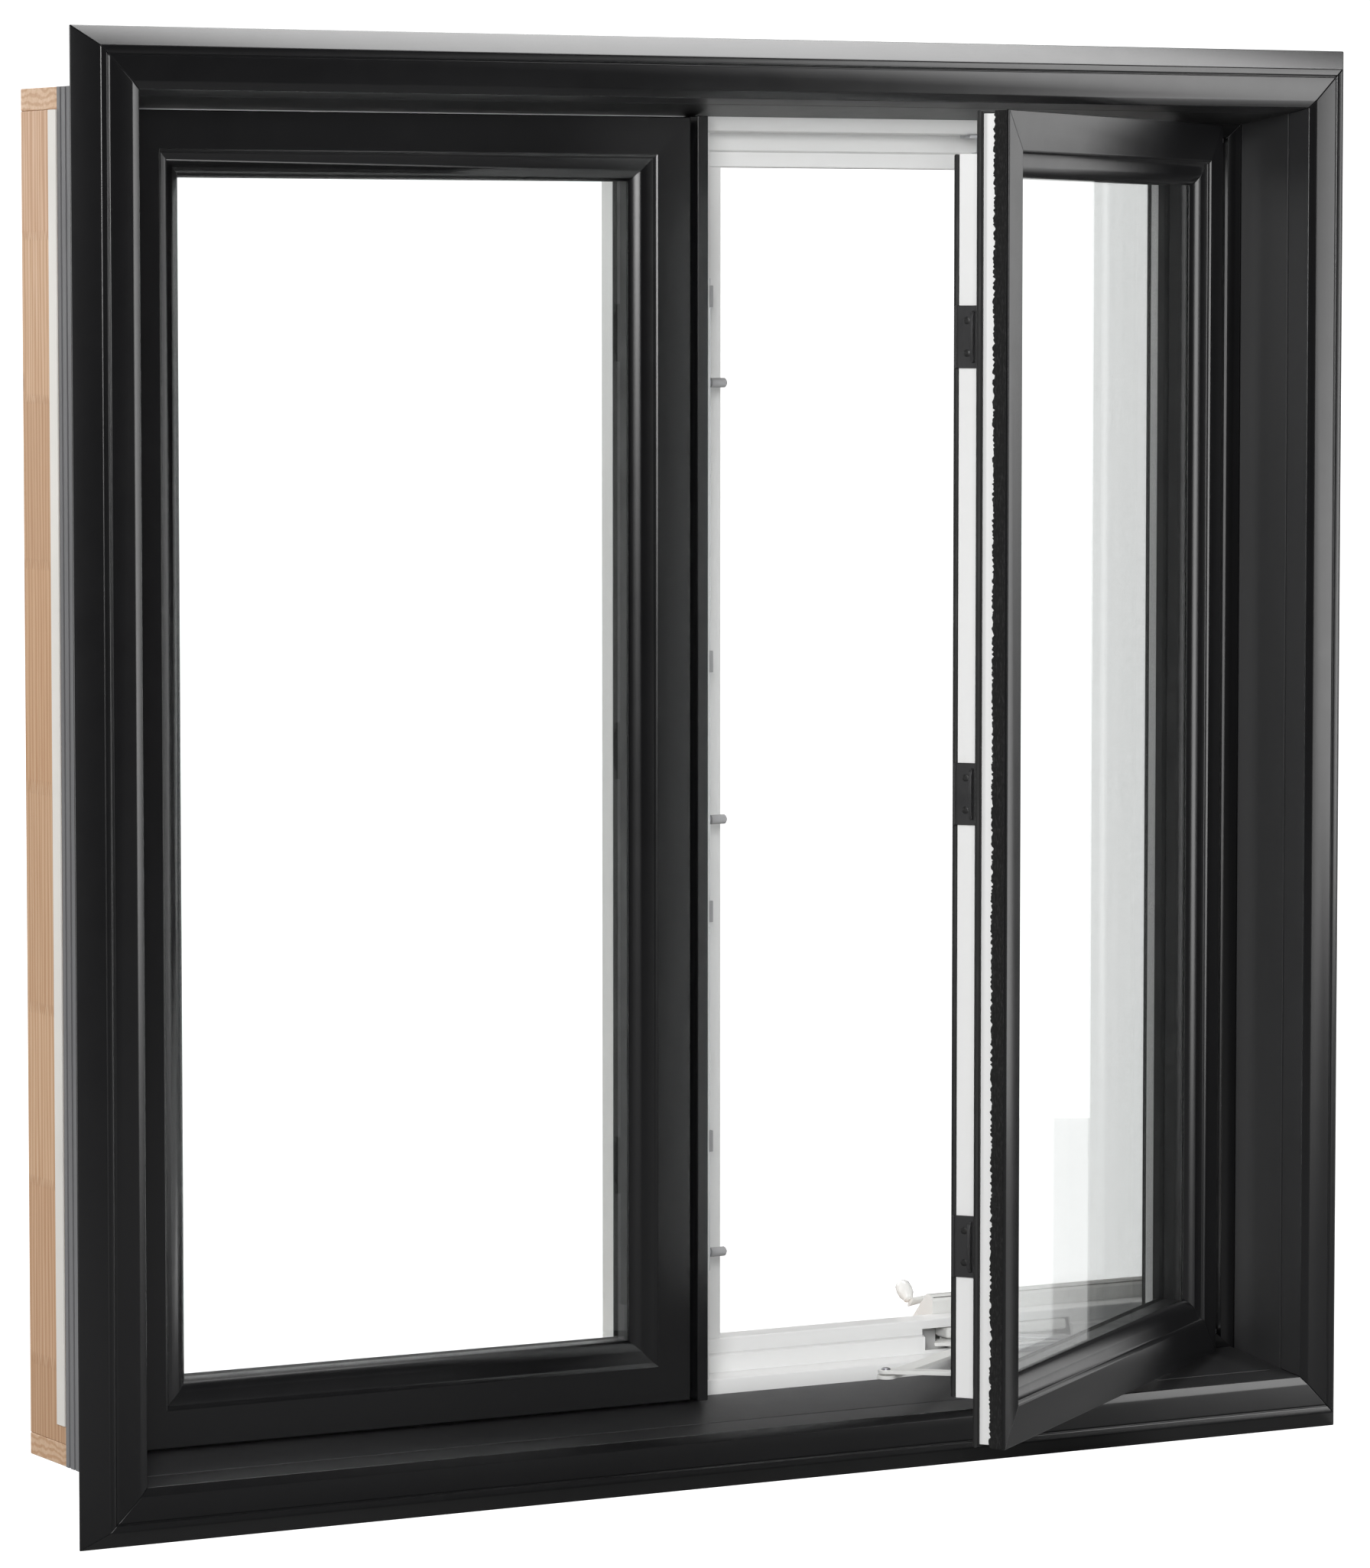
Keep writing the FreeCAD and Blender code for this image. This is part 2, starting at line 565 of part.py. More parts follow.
def operator(closed, now, sash_place):
    """Crank gear in the sill: base, drive arm with a gear sector, link to a bracket on the sash."""
    lane, opening = dim("lane"), dim("opening")
    fixed, drive = closed["A"], closed["D"]
    x = fixed.x
    tongue = block(x - 16, x + 16, lane - 8, 98, 37.5, 40.4)
    floor = block("crank_x - 56", "crank_x + 56", 96, 165, 37.5, 40.4)
    foot = block("crank_x - 52", "crank_x + 52", 126, 165, 18, 38)
    wall = block("crank_x - 56", "crank_x + 56", 116, 120, 40.4, 48.4)
    eye = rod((x, lane, 37), UP, 5.2, 4)
    keep(cut(fuse(tongue, floor, foot, wall), eye), "operator_base")

    lever = link(fixed, drive, 8, 41, 44, (5.3,))
    hub = rod((x, lane, 41), UP, 9, 3)
    blank = rod((x, lane, 41), UP, 38, 3)
    wedge = extrusion("sector", "XY_Plane", [[(0, 0), (-30, 60), (60, 60), (38, 0)]], 200)
    wedge.Placement.Base = V(x, lane, 0)
    sector = doc.addObject("Part::Common", "sector_common")
    sector.Base = blank
    sector.Tool = wedge
    bore = rod((x, lane, 40), UP, 5.3, 6)
    stud = rod((drive.x, drive.y, 43), UP, 2.5, 6)
    arm = fuse(cut(fuse(lever, hub, sector), bore), stud)
    keep(arm, "operator_arm", turned(fixed, fixed, opening))

    rod_link = link(drive, closed["Q"], 7, 45.5, 48.5, (2.9, 3.2))
    keep(rod_link, "operator_link", turned(drive, now["D"], -opening))

    q = closed["Q"]
    shelf = block(q.x - 14, q.x + 14, q.y - 8, q.y + 8, 51, 57.3)
    pin = rod((q.x, q.y, 45.7), UP, 2.5, 6)
    keep(fuse(shelf, pin), "operator_bracket", sash_place)

    shell = extrusion("cover", "YZ_Plane", [[
        ("frame_back", "board"), ("frame_back", 74), ("frame_back + 4", 79), ("frame_back + 11", 79),
        ("frame_back + 46", 44), ("frame_back + 48", 40), ("frame_back + 48", "board"),
    ]], "cover_length")
    pocket(shell, "YZ_Plane", [[
        ("frame_back - 1", "board - 2"), ("frame_back - 1", 58), ("frame_back + 2", 58),
        ("frame_back + 2", 77), ("frame_back + 10.2", 77), ("frame_back + 44.2", 43),
        ("frame_back + 46", 39.6), ("frame_back + 46", "board - 2"),
    ]], "cover_length - 4")
    shell.Placement.Base = V(dim("cover_x"), 0, 0)
    out = V(0, 1, 1).normalize()
    crank_x, reach = dim("crank_x"), dim("crank_reach")
    face = V(crank_x, dim("frame_back") + 28.5, 61.5)
    hole = rod(tuple(face - out * 6), out, 5, 12)
    keep(cut(shell, hole), "operator_cover")

    crank_hub = rod(tuple(face + out * 1), out, 9, 11)
    spindle = rod(tuple(face - out * 8), out, 4, 10)
    centre = face + out * dim("crank_height")
    bar = block(crank_x - reach, crank_x, -6, 6, -2, 2)
    tip = rod((crank_x - reach, 0, -2), UP, 6, 4)
    handle = fuse(bar, tip)
    tilt = FreeCAD.Rotation(V(1, 0, 0), -45)
    handle.Placement = FreeCAD.Placement(V(0, centre.y, centre.z), tilt)
    keep(fuse(crank_hub, spindle, handle), "crank_handle")
    worm = rod(tuple(face - out * 22), out, 6.5, 14)
    keep(worm, "operator_worm")
    grip = centre + out * 2 - V(reach, 0, 0)
    keep(rod(tuple(grip), out, 7, 20), "crank_knob")


# ---- assembly ----

def build():
    closed, now = linkage()
    sash_place = turned(closed["P"], now["P"], dim("opening"))
    casing()
    frame()
    mullion()
    extension()
    sash("left", "left_start", "left_end")
    sash("right", "right_start", "right_end", sash_place)
    keepers(sash_place)
    lock()
    hinges(closed, now, sash_place)
    operator(closed, now, sash_place)


def check():
    """Stop on any object that failed and on any sub-part without a valid solid shape."""
    for item in doc.Objects:
        if {"Invalid", "Error"} & set(item.State):
            raise RuntimeError(f"{item.Name} ({item.Label}) failed: {item.State}")
    for label, item in nodes.items():
        shape = item.Shape
        if shape.isNull() or not shape.isValid() or not shape.Solids:
            raise RuntimeError(f"{label} has no valid shape")


build()
doc.recompute()
check()
os.makedirs("parts", exist_ok=True)
for label, item in nodes.items():
    item.Shape.exportStep(os.path.join("parts", f"{label}.step"))
print(len(nodes), "nodes")
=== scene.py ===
import json
import math
import random

import bmesh
import bpy
from mathutils import Matrix, Vector

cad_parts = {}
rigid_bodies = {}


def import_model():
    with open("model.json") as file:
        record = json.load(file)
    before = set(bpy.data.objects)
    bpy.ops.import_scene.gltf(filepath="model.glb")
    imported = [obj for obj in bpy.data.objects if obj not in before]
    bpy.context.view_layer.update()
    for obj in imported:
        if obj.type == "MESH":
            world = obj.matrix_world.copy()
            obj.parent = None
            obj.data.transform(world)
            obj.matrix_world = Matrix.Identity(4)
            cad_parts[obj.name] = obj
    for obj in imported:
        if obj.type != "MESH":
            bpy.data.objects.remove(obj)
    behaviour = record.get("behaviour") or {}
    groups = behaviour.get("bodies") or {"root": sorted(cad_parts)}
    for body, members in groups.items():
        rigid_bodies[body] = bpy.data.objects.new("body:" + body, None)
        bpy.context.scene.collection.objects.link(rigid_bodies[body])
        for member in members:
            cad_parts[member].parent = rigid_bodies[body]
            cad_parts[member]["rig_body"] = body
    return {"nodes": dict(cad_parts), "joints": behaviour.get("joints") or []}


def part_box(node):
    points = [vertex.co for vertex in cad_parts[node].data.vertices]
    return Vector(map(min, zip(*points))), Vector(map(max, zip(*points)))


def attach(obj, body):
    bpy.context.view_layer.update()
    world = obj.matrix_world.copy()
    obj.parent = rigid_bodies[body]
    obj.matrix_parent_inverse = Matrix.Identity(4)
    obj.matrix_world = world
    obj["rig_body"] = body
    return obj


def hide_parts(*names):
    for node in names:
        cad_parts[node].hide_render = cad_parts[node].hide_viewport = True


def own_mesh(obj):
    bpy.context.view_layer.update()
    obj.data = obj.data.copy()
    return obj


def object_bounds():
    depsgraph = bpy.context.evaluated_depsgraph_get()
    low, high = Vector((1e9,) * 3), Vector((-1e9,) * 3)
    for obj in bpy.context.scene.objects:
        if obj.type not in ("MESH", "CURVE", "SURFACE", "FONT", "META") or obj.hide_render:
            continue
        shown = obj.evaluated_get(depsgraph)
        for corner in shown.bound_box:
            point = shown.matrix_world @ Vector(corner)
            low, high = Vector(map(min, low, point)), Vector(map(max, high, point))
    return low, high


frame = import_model()
cad_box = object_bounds()
NODES = frame["nodes"]
JOINTS = {joint["name"]: joint for joint in frame["joints"]}
MM = 0.001
SIDES = ("sill", "head", "jamb_left", "jamb_right")
SASH_BARS = ("rail_bottom", "rail_top", "stile_left", "stile_right")

# The open sash: pieces are drawn where they are when it is shut, then carried by OPEN.
SASH_FRONT = 39.5 * MM
SASH_LOW, SASH_HIGH = 23.3 * MM, 1092.5 * MM
SASH_MIDDLE = (SASH_LOW + SASH_HIGH) / 2
RIGHT_EDGES = (-0.9 * MM, 536.6 * MM)
LEFT_EDGES = (-536.6 * MM, -23.9 * MM)
OPENING = math.radians(38)
HINGE_SHUT = Vector((519.6, 72, 0)) * MM
HINGE_NOW = Vector(JOINTS["shoe_link_turn"]["pos_m"])
HINGE_NOW.z = 0
OPEN = Matrix.Translation(HINGE_NOW) @ Matrix.Rotation(OPENING, 4, "Z") @ Matrix.Translation(-HINGE_SHUT)
SHUT = Matrix.Identity(4)


# ---- materials ----

class Shader:
    """A principled material with short calls for its noise, colour and bump nodes."""

    def __init__(self, name, colour, roughness, metallic=0.0, **sockets):
        self.material = bpy.data.materials.new(name)
        self.material.use_nodes = True
        self.tree = self.material.node_tree
        self.surface = self.tree.nodes["Principled BSDF"]
        self.surface.inputs["Base Color"].default_value = (*colour, 1)
        self.surface.inputs["Roughness"].default_value = roughness
        self.surface.inputs["Metallic"].default_value = metallic
        for socket, value in sockets.items():
            self.surface.inputs[socket.replace("_", " ")].default_value = value
        self.place = self.node("ShaderNodeTexCoord").outputs["Object"]

    def node(self, kind, **settings):
        """A new shader node with the given properties."""
        item = self.tree.nodes.new(kind)
        for key, value in settings.items():
            setattr(item, key, value)
        return item

    def join(self, output, socket):
        """Link an output to an input."""
        self.tree.links.new(output, socket)

    def stretched(self, scale):
        """The object coordinates, scaled along each axis."""
        mapping = self.node("ShaderNodeMapping")
        mapping.inputs["Scale"].default_value = scale
        self.join(self.place, mapping.inputs["Vector"])
        return mapping.outputs["Vector"]

    def noise(self, scale, detail=3, stretch=(1, 1, 1), roughness=0.5):
        """A noise texture in object coordinates."""
        item = self.node("ShaderNodeTexNoise")
        item.inputs["Scale"].default_value = scale
        item.inputs["Detail"].default_value = detail
        item.inputs["Roughness"].default_value = roughness
        self.join(self.stretched(stretch), item.inputs["Vector"])
        return item.outputs["Fac"]

    def spread(self, value, low, high, start=0.3, end=0.7):
        """A value mapped from one range to another and clamped."""
        item = self.node("ShaderNodeMapRange")
        settings = {"From Min": start, "From Max": end, "To Min": low, "To Max": high}
        for socket, number in settings.items():
            item.inputs[socket].default_value = number
        self.join(value, item.inputs["Value"])
        return item.outputs["Result"]

    def sums(self, operation, first, second):
        """One step of arithmetic."""
        item = self.node("ShaderNodeMath", operation=operation)
        for socket, value in zip(item.inputs, (first, second)):
            if isinstance(value, (int, float)):
                socket.default_value = value
            else:
                self.join(value, socket)
        return item.outputs["Value"]

    def ramp(self, value, stops):
        """Colours along a value."""
        item = self.node("ShaderNodeValToRGB")
        ramp = item.color_ramp
        while len(ramp.elements) < len(stops):
            ramp.elements.new(0.5)
        for element, (place, colour) in zip(ramp.elements, stops):
            element.position = place
            element.color = (*colour, 1)
        self.join(value, item.inputs["Fac"])
        return item.outputs["Color"]

    def mix(self, factor, first, second, blend="MIX"):
        """Two colours mixed by a factor."""
        item = self.node("ShaderNodeMix", data_type="RGBA", blend_type=blend)
        values = {0: factor, 6: first, 7: second}
        for index, value in values.items():
            socket = item.inputs[index]
            if isinstance(value, tuple):
                socket.default_value = (*value, 1)
            elif isinstance(value, (int, float)):
                socket.default_value = value
            else:
                self.join(value, socket)
        return item.outputs[2]

    def colour(self, output):
        """Drive the base colour."""
        self.join(output, self.surface.inputs["Base Color"])

    def rough(self, output):
        """Drive the roughness."""
        self.join(output, self.surface.inputs["Roughness"])

    def bump(self, height, distance, strength=1.0):
        """Drive the normal by a height."""
        item = self.node("ShaderNodeBump")
        item.inputs["Distance"].default_value = distance
        item.inputs["Strength"].default_value = strength
        self.join(height, item.inputs["Height"])
        self.join(item.outputs["Normal"], self.surface.inputs["Normal"])


def moulded(name, colour, low, high, grain=900, depth=0.00004, streak=(1, 1, 1), tint=0.06):
    """A moulded or painted surface: fine orange peel, uneven gloss and slight tone changes."""
    shader = Shader(name, colour, (low + high) / 2)
    cloud = shader.noise(6, 4, streak)
    darker = tuple(c * (1 - tint) for c in colour)
    lighter = tuple(min(1, c * (1 + tint)) for c in colour)
    shader.colour(shader.mix(shader.spread(cloud, 0, 1), darker, lighter))
    scuff = shader.noise(38, 5, streak, 0.65)
    shader.rough(shader.spread(scuff, low, high))
    shader.bump(shader.noise(grain, 2), depth, 0.35)
    return shader.material


def brushed(name, colour, low, high, along=(0.04, 1, 1)):
    """Metal with fine drawn lines along one axis."""
    shader = Shader(name, colour, low, 1.0)
    lines = shader.noise(1400, 3, along)
    patches = shader.noise(25, 4)
    shader.colour(shader.mix(shader.spread(patches, 0, 1), tuple(c * 0.82 for c in colour), colour))
    shader.rough(shader.spread(shader.sums("MULTIPLY", lines, patches), low, high, 0.12, 0.4))
    shader.bump(lines, 0.00004, 0.5)
    return shader.material


def pine(name, along, block_length, seed):
    """Finger-jointed pine: blocks of different tone, grain along the board, knots and joints."""
    across = [axis for axis in range(3) if axis != along]
    shader = Shader(name, (0.6, 0.42, 0.28), 0.55)
    split = shader.node("ShaderNodeSeparateXYZ")
    shader.join(shader.place, split.inputs[0])
    length = split.outputs[along]
    zigzag = shader.node("ShaderNodeMath", operation="PINGPONG")
    shader.join(shader.sums("MULTIPLY", split.outputs[1], 1.0), zigzag.inputs[0])
    zigzag.inputs[1].default_value = 0.0022
    finger = shader.sums("MULTIPLY", zigzag.outputs[0], 4.2)
    only_along = tuple(1 if axis == along else 0 for axis in range(3))
    wander = shader.sums("MULTIPLY", shader.noise(2.1, 0, only_along), 0.16)
    run = shader.sums("ADD", shader.sums("ADD", length, finger), wander)
    count = shader.sums("DIVIDE", run, block_length)
    block_no = shader.sums("FLOOR", count, 0)
    tone = shader.node("ShaderNodeTexWhiteNoise", noise_dimensions="1D")
    shader.join(shader.sums("ADD", block_no, seed), tone.inputs["W"])
    stretch = [1.0, 1.0, 1.0]
    stretch[along] = 0.045
    shift = shader.node("ShaderNodeCombineXYZ")
    shader.join(shader.sums("MULTIPLY", tone.outputs["Value"], 9), shift.inputs[across[0]])
    moved = shader.node("ShaderNodeVectorMath", operation="ADD")
    shader.join(shader.stretched(tuple(stretch)), moved.inputs[0])
    shader.join(shift.outputs[0], moved.inputs[1])
    grain = shader.node("ShaderNodeTexNoise")
    grain.inputs["Scale"].default_value = 260
    grain.inputs["Detail"].default_value = 5
    grain.inputs["Distortion"].default_value = 0.6
    shader.join(moved.outputs[0], grain.inputs["Vector"])
    rings = shader.node("ShaderNodeTexWave", wave_type="BANDS", bands_direction="XYZ"[across[1]])
    rings.inputs["Scale"].default_value = 55
    rings.inputs["Distortion"].default_value = 7
    rings.inputs["Detail"].default_value = 2
    shader.join(moved.outputs[0], rings.inputs["Vector"])
    base = shader.ramp(tone.outputs["Value"], [
        (0.0, (0.60, 0.40, 0.26)), (0.35, (0.52, 0.33, 0.20)), (0.65, (0.66, 0.47, 0.32)),
        (1.0, (0.56, 0.36, 0.22)),
    ])
    late_wood = shader.ramp(rings.outputs["Fac"], [(0.35, (1, 1, 1)), (0.85, (0.78, 0.66, 0.55))])
    streaks = shader.ramp(grain.outputs["Fac"], [(0.3, (0.86, 0.8, 0.74)), (0.65, (1, 1, 1))])
    wood = shader.mix(0.8, shader.mix(0.75, base, late_wood, "MULTIPLY"), streaks, "MULTIPLY")
    knots = shader.node("ShaderNodeTexVoronoi")
    knots.inputs["Scale"].default_value = 9
    knots.inputs["Randomness"].default_value = 1
    knot_stretch = [2.2, 2.2, 2.2]
    knot_stretch[along] = 0.8
    shader.join(shader.stretched(tuple(knot_stretch)), knots.inputs["Vector"])
    knot = shader.spread(knots.outputs["Distance"], 1, 0, 0.03, 0.10)
    wood = shader.mix(shader.sums("MULTIPLY", knot, 0.75), wood, (0.20, 0.095, 0.045))
    edge = shader.sums("ABSOLUTE", shader.sums("SUBTRACT", shader.sums("FRACT", count, 0), 0.5), 0)
    seam = shader.spread(edge, 0, 1, 0.4955, 0.4985)
    shader.colour(shader.mix(shader.sums("MULTIPLY", seam, 0.55), wood, (0.22, 0.12, 0.06)))
    shader.rough(shader.spread(grain.outputs["Fac"], 0.62, 0.42))
    height = shader.sums("SUBTRACT", grain.outputs["Fac"], shader.sums("MULTIPLY", seam, 0.7))
    shader.bump(height, 0.0002, 0.6)
    return shader.material


def float_glass():
    """Clear float glass with a trace of green and a faint waviness."""
    shader = Shader("float_glass", (0.985, 0.995, 0.99), 0.0, 0.0, Transmission_Weight=1.0, IOR=1.45)
    wave = shader.noise(1.4, 2)
    shader.bump(wave, 0.0002, 0.05)
    shader.colour(shader.mix(shader.spread(wave, 0, 1), (0.975, 0.99, 0.985), (0.99, 0.998, 0.995)))
    return shader.material


def seal_rubber():
    """Soft black rubber with dusty patches."""
    shader = Shader("seal_rubber", (0.012, 0.012, 0.012), 0.6)
    dust = shader.noise(60, 6, (1, 1, 0.3), 0.7)
    share = shader.spread(dust, 0, 0.3, 0.5, 0.8)
    shader.colour(shader.mix(share, (0.005, 0.005, 0.005), (0.05, 0.05, 0.05)))
    shader.rough(shader.spread(dust, 0.5, 0.8))
    shader.bump(shader.noise(1200, 3), 0.00008, 0.5)
    return shader.material


def pile_fibre():
    """Woven pile: black tufts with a few pale fibres."""
    shader = Shader("pile_fibre", (0.008, 0.008, 0.008), 0.95, 0.0,
                    Sheen_Weight=0.05, Sheen_Roughness=0.5)
    tufts = shader.noise(900, 4, (1, 1, 0.25))
    share = shader.spread(tufts, 0, 1, 0.5, 0.8)
    shader.colour(shader.mix(share, (0.003, 0.003, 0.003), (0.025, 0.025, 0.025)))
    shader.bump(tufts, 0.0006, 0.9)
    return shader.material


BLACK = (0.0045, 0.0045, 0.005)
WHITE = (0.86, 0.86, 0.855)
MATERIALS = {
    "black_cladding": moulded("black_cladding", BLACK, 0.23, 0.255, 1100, 0.00002, (1, 1, 1), 0.06),
    # Lighter, rougher black: partly a satin vinyl skin, partly painted light standing in for light on
    # the reveals.
    "black_skin_painted_light": moulded("black_skin_painted_light", (0.027, 0.027, 0.028), 0.4, 0.44, 900, 0.00003, (1, 1, 1), 0.06),
    "white_pvc": moulded("white_pvc", WHITE, 0.3, 0.38, 700, 0.00002, (1, 1, 1), 0.008),
    "pale_strip": moulded("pale_strip", (0.72, 0.70, 0.66), 0.4, 0.55, 600, 0.00005),
    "pine_across": pine("pine_across", 0, 0.19, 3.0),
    "pine_upright": pine("pine_upright", 2, 0.155, 11.0),
    "glass": float_glass(),
    "spacer": moulded("black_spacer", (0.008, 0.008, 0.008), 0.45, 0.6, 1500, 0.0001),
    "rubber": seal_rubber(),
    "pile": pile_fibre(),
    "hinge_steel": brushed("hinge_steel", (0.60, 0.61, 0.63), 0.22, 0.42),
    "upright_steel": brushed("upright_steel", (0.60, 0.61, 0.63), 0.24, 0.45, (1, 1, 0.04)),
    "keeper": moulded("keeper_paint", (0.022, 0.022, 0.023), 0.36, 0.5, 500, 0.00012),
    "black_screw": moulded("black_screw", (0.006, 0.006, 0.006), 0.3, 0.45, 700, 0.00004),
    "screw": brushed("screw_steel", (0.30, 0.30, 0.32), 0.25, 0.4, (1, 1, 1)),
    "zinc": moulded("cast_zinc", (0.33, 0.34, 0.36), 0.4, 0.6, 350, 0.0002),
    "cover": moulded("cover_plastic", (0.84, 0.84, 0.82), 0.2, 0.3, 500, 0.00004, (1, 1, 1), 0.02),
    "white_metal": moulded("white_metal", (0.82, 0.82, 0.80), 0.26, 0.38, 420, 0.00008, (1, 1, 1), 0.02),
    "frame_edge": moulded("frame_edge", (0.17, 0.17, 0.175), 0.45, 0.7, 240, 0.0002, (1, 1, 0.2), 0.3),
    "grey_plastic": moulded("grey_plastic", (0.42, 0.42, 0.43), 0.42, 0.55, 500, 0.0001),
}


# ---- mesh helpers ----

def bridge(bm, here, there):
    """Faces between two rings of the same number of vertices."""
    for i in range(len(here)):
        j = (i + 1) % len(here)
        bm.faces.new((here[i], here[j], there[j], there[i]))


def add_mesh(name, bm, material, body, place=SHUT, replaces=(), smooth=35):
    """A finished piece: its mesh, its material, its body and the CAD nodes it stands for."""
    bmesh.ops.recalc_face_normals(bm, faces=bm.faces)
    mesh = bpy.data.meshes.new(name)
    bm.to_mesh(mesh)
    bm.free()
    mesh.transform(place)
    mesh.shade_smooth()
    mesh.set_sharp_from_angle(angle=math.radians(smooth))
    item = bpy.data.objects.new(name, mesh)
    bpy.context.scene.collection.objects.link(item)
    item.data.materials.append(MATERIALS[material])
    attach(item, body)
    if replaces:
        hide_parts(*replaces)
    return item


def soften(item, width, segments=2, angle=25):
    """Rounded arrises."""
    bevel = item.modifiers.new("arris", "BEVEL")
    bevel.width = width
    bevel.segments = segments
    bevel.limit_method = "ANGLE"
    bevel.angle_limit = math.radians(angle)
    bevel.use_clamp_overlap = True
    bevel.harden_normals = True
    return item


def refined(node, material, width, segments=2, split_x=None):
    """The CAD node's own shape with welded corners and rounded arrises, shown in its place."""
    bm = bmesh.new()
    bm.from_mesh(NODES[node].data)
    bmesh.ops.remove_doubles(bm, verts=bm.verts, dist=0.000002)
    bmesh.ops.dissolve_limit(bm, angle_limit=math.radians(0.5), verts=bm.verts, edges=bm.edges)
    if split_x is not None:
        everything = bm.verts[:] + bm.edges[:] + bm.faces[:]
        bmesh.ops.bisect_plane(bm, geom=everything, plane_co=(split_x, 0, 0), plane_no=(1, 0, 0))
    item = add_mesh(node + "_shell", bm, material, NODES[node]["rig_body"], replaces=(node,))
    return soften(item, width, segments)


def repaint(item, material, belongs):
    """Give another material to the faces whose centre passes a test."""
    item.data.materials.append(MATERIALS[material])
    for face in item.data.polygons:
        if belongs(face.center):
            face.material_index = len(item.data.materials) - 1


def ring_sweep(name, section, edges, material, body, place=SHUT, replaces=(), wobble=None, step=None):
    """A section of (inset, depth) points swept round a sash, mitred at its four corners."""
    bm = bmesh.new()
    left, right = edges
    corners = ((left, SASH_LOW, 1, 1), (right, SASH_LOW, -1, 1), (right, SASH_HIGH, -1, -1),
               (left, SASH_HIGH, 1, -1))
    loops = []
    for (x, z, sx, sz), (x2, z2, sx2, sz2) in zip(corners, corners[1:] + corners[:1]):
        count = 1 if step is None else max(1, round(math.hypot(x2 - x, z2 - z) / step))
        for k in range(count):
            part = k / count
            loop = []
            for j, (inset, depth) in enumerate(section):
                if wobble and k:
                    inset, depth = wobble(j, inset, depth)
                a = Vector((x + sx * inset, 0, z + sz * inset))
                b = Vector((x2 + sx2 * inset, 0, z2 + sz2 * inset))
                spot = a.lerp(b, part)
                spot.y = SASH_FRONT + depth
                loop.append(bm.verts.new(spot))
            loops.append(loop)
    for here, there in zip(loops, loops[1:] + loops[:1]):
        bridge(bm, here, there)
    return add_mesh(name, bm, material, body, place, replaces, 50)


def bulb(centre, radius, foot_half, foot_depth, points=14):
    """The section of a bulb seal: most of a circle on a flat foot. Centre is (inset, depth)."""
    s, t = centre
    arc = [(s + radius * math.cos(a), t + radius * math.sin(a))
           for a in (math.radians(-50 + i * 280 / points) for i in range(points + 1))]
    return arc + [(s - foot_half, foot_depth), (s + foot_half, foot_depth)]


def lathe(name, outline, start, direction, material, body, place=SHUT, replaces=(), turns=40):
    """A turned piece: (radius, height) points spun about an axis."""
    bm = bmesh.new()
    rotation = Vector(direction).to_track_quat("Z", "Y").to_matrix().to_4x4()
    base = Matrix.Translation(Vector(start)) @ rotation
    rings = []
    for radius, height in outline:
        ring = []
        for i in range(turns):
            angle = 2 * math.pi * i / turns
            point = Vector((radius * math.cos(angle), radius * math.sin(angle), height))
            ring.append(bm.verts.new(base @ point))
        rings.append(ring)
    for low, high in zip(rings, rings[1:]):
        bridge(bm, low, high)
    bm.faces.new(list(reversed(rings[0])))
    bm.faces.new(rings[-1])
    return add_mesh(name, bm, material, body, place, replaces)


def plate(name, outline, start, u, v, thick, material, body, place=SHUT, replaces=()):
    """A flat plate: an outline of (u, v) points, thickened along u cross v."""
    bm = bmesh.new()
    u, v = Vector(u).normalized(), Vector(v).normalized()
    out = u.cross(v) * thick
    low = [bm.verts.new(Vector(start) + u * a + v * b) for a, b in outline]
    high = [bm.verts.new(vert.co + out) for vert in low]
    bm.faces.new(low)
    bm.faces.new(list(reversed(high)))
    bridge(bm, low, high)
    return add_mesh(name, bm, material, body, place, replaces)


# ---- casing, frame, mullion and extension ----

OUTER_EDGE = 1.8 * MM
RETURN_INSET, RETURN_FRONT = 49.9 * MM, -21.4 * MM
NOSE_FRONT, NOSE_BACK = 61.5 * MM, 93.8 * MM
# Past this x the white frame nose is painted black: painted shade for the hinge corner.
PAINTED_SHADE_START = 470 * MM


def outer_face(centre):
    """True on the rough outer sides of the frame, which the wall hides."""
    low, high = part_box("frame_sill")[0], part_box("frame_head")[1]
    sideways = min(centre.x - low.x, high.x - centre.x)
    upright = min(centre.z - low.z, high.z - centre.z)
    return min(sideways, upright) < OUTER_EDGE


def painted_light_return(centre):
    """True on the casing's bevel that turns in towards the frame, which takes the lighter black as
    painted light on the reveal.
    """
    low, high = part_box("casing_sill")[0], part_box("casing_head")[1]
    inset = min(centre.x - low.x, high.x - centre.x, centre.z - low.z, high.z - centre.z)
    return inset > RETURN_INSET and centre.y > RETURN_FRONT


def painted_shade_nose(centre):
    """True on the nose faces in the hinge corner, beside and behind the open sash, where the white nose
    is painted black as painted shade.
    """
    return NOSE_FRONT < centre.y < NOSE_BACK and centre.x > PAINTED_SHADE_START


def outer_parts():
    """Casing, frame, frame cladding, mullion and timber extension."""
    for side in SIDES:
        casing = refined(f"casing_{side}", "black_cladding", 0.0007, 3)
        # Painted light: the casing's inner bevel and the frame cladding get the lighter black.
        repaint(casing, "black_skin_painted_light", painted_light_return)
        refined(f"frame_cladding_{side}", "black_skin_painted_light", 0.0004)
        # Head and sill bars are cut where the painted shade on the nose starts.
        split = None if side.startswith("jamb") else PAINTED_SHADE_START
        bar = refined(f"frame_{side}", "white_pvc", 0.0006, split_x=split)
        repaint(bar, "frame_edge", outer_face)
        # Painted shade: the nose in the hinge corner takes the black cladding colour.
        if side != "jamb_left":
            repaint(bar, "black_cladding", painted_shade_nose)
        wood = "pine_upright" if side.startswith("jamb") else "pine_across"
        refined(f"extension_{side}", wood, 0.0009)
    refined("mullion_post", "white_pvc", 0.0006)
    refined("mullion_cap", "black_cladding", 0.0008)
    refined("extension_clips", "pale_strip", 0.0003)


# ---- sashes ----

# Bead faces shallower than this are black rubber: a gasket lip widened as painted shade for the shaded
# bead.
BEAD_SHADE_DEPTH = 44 * MM


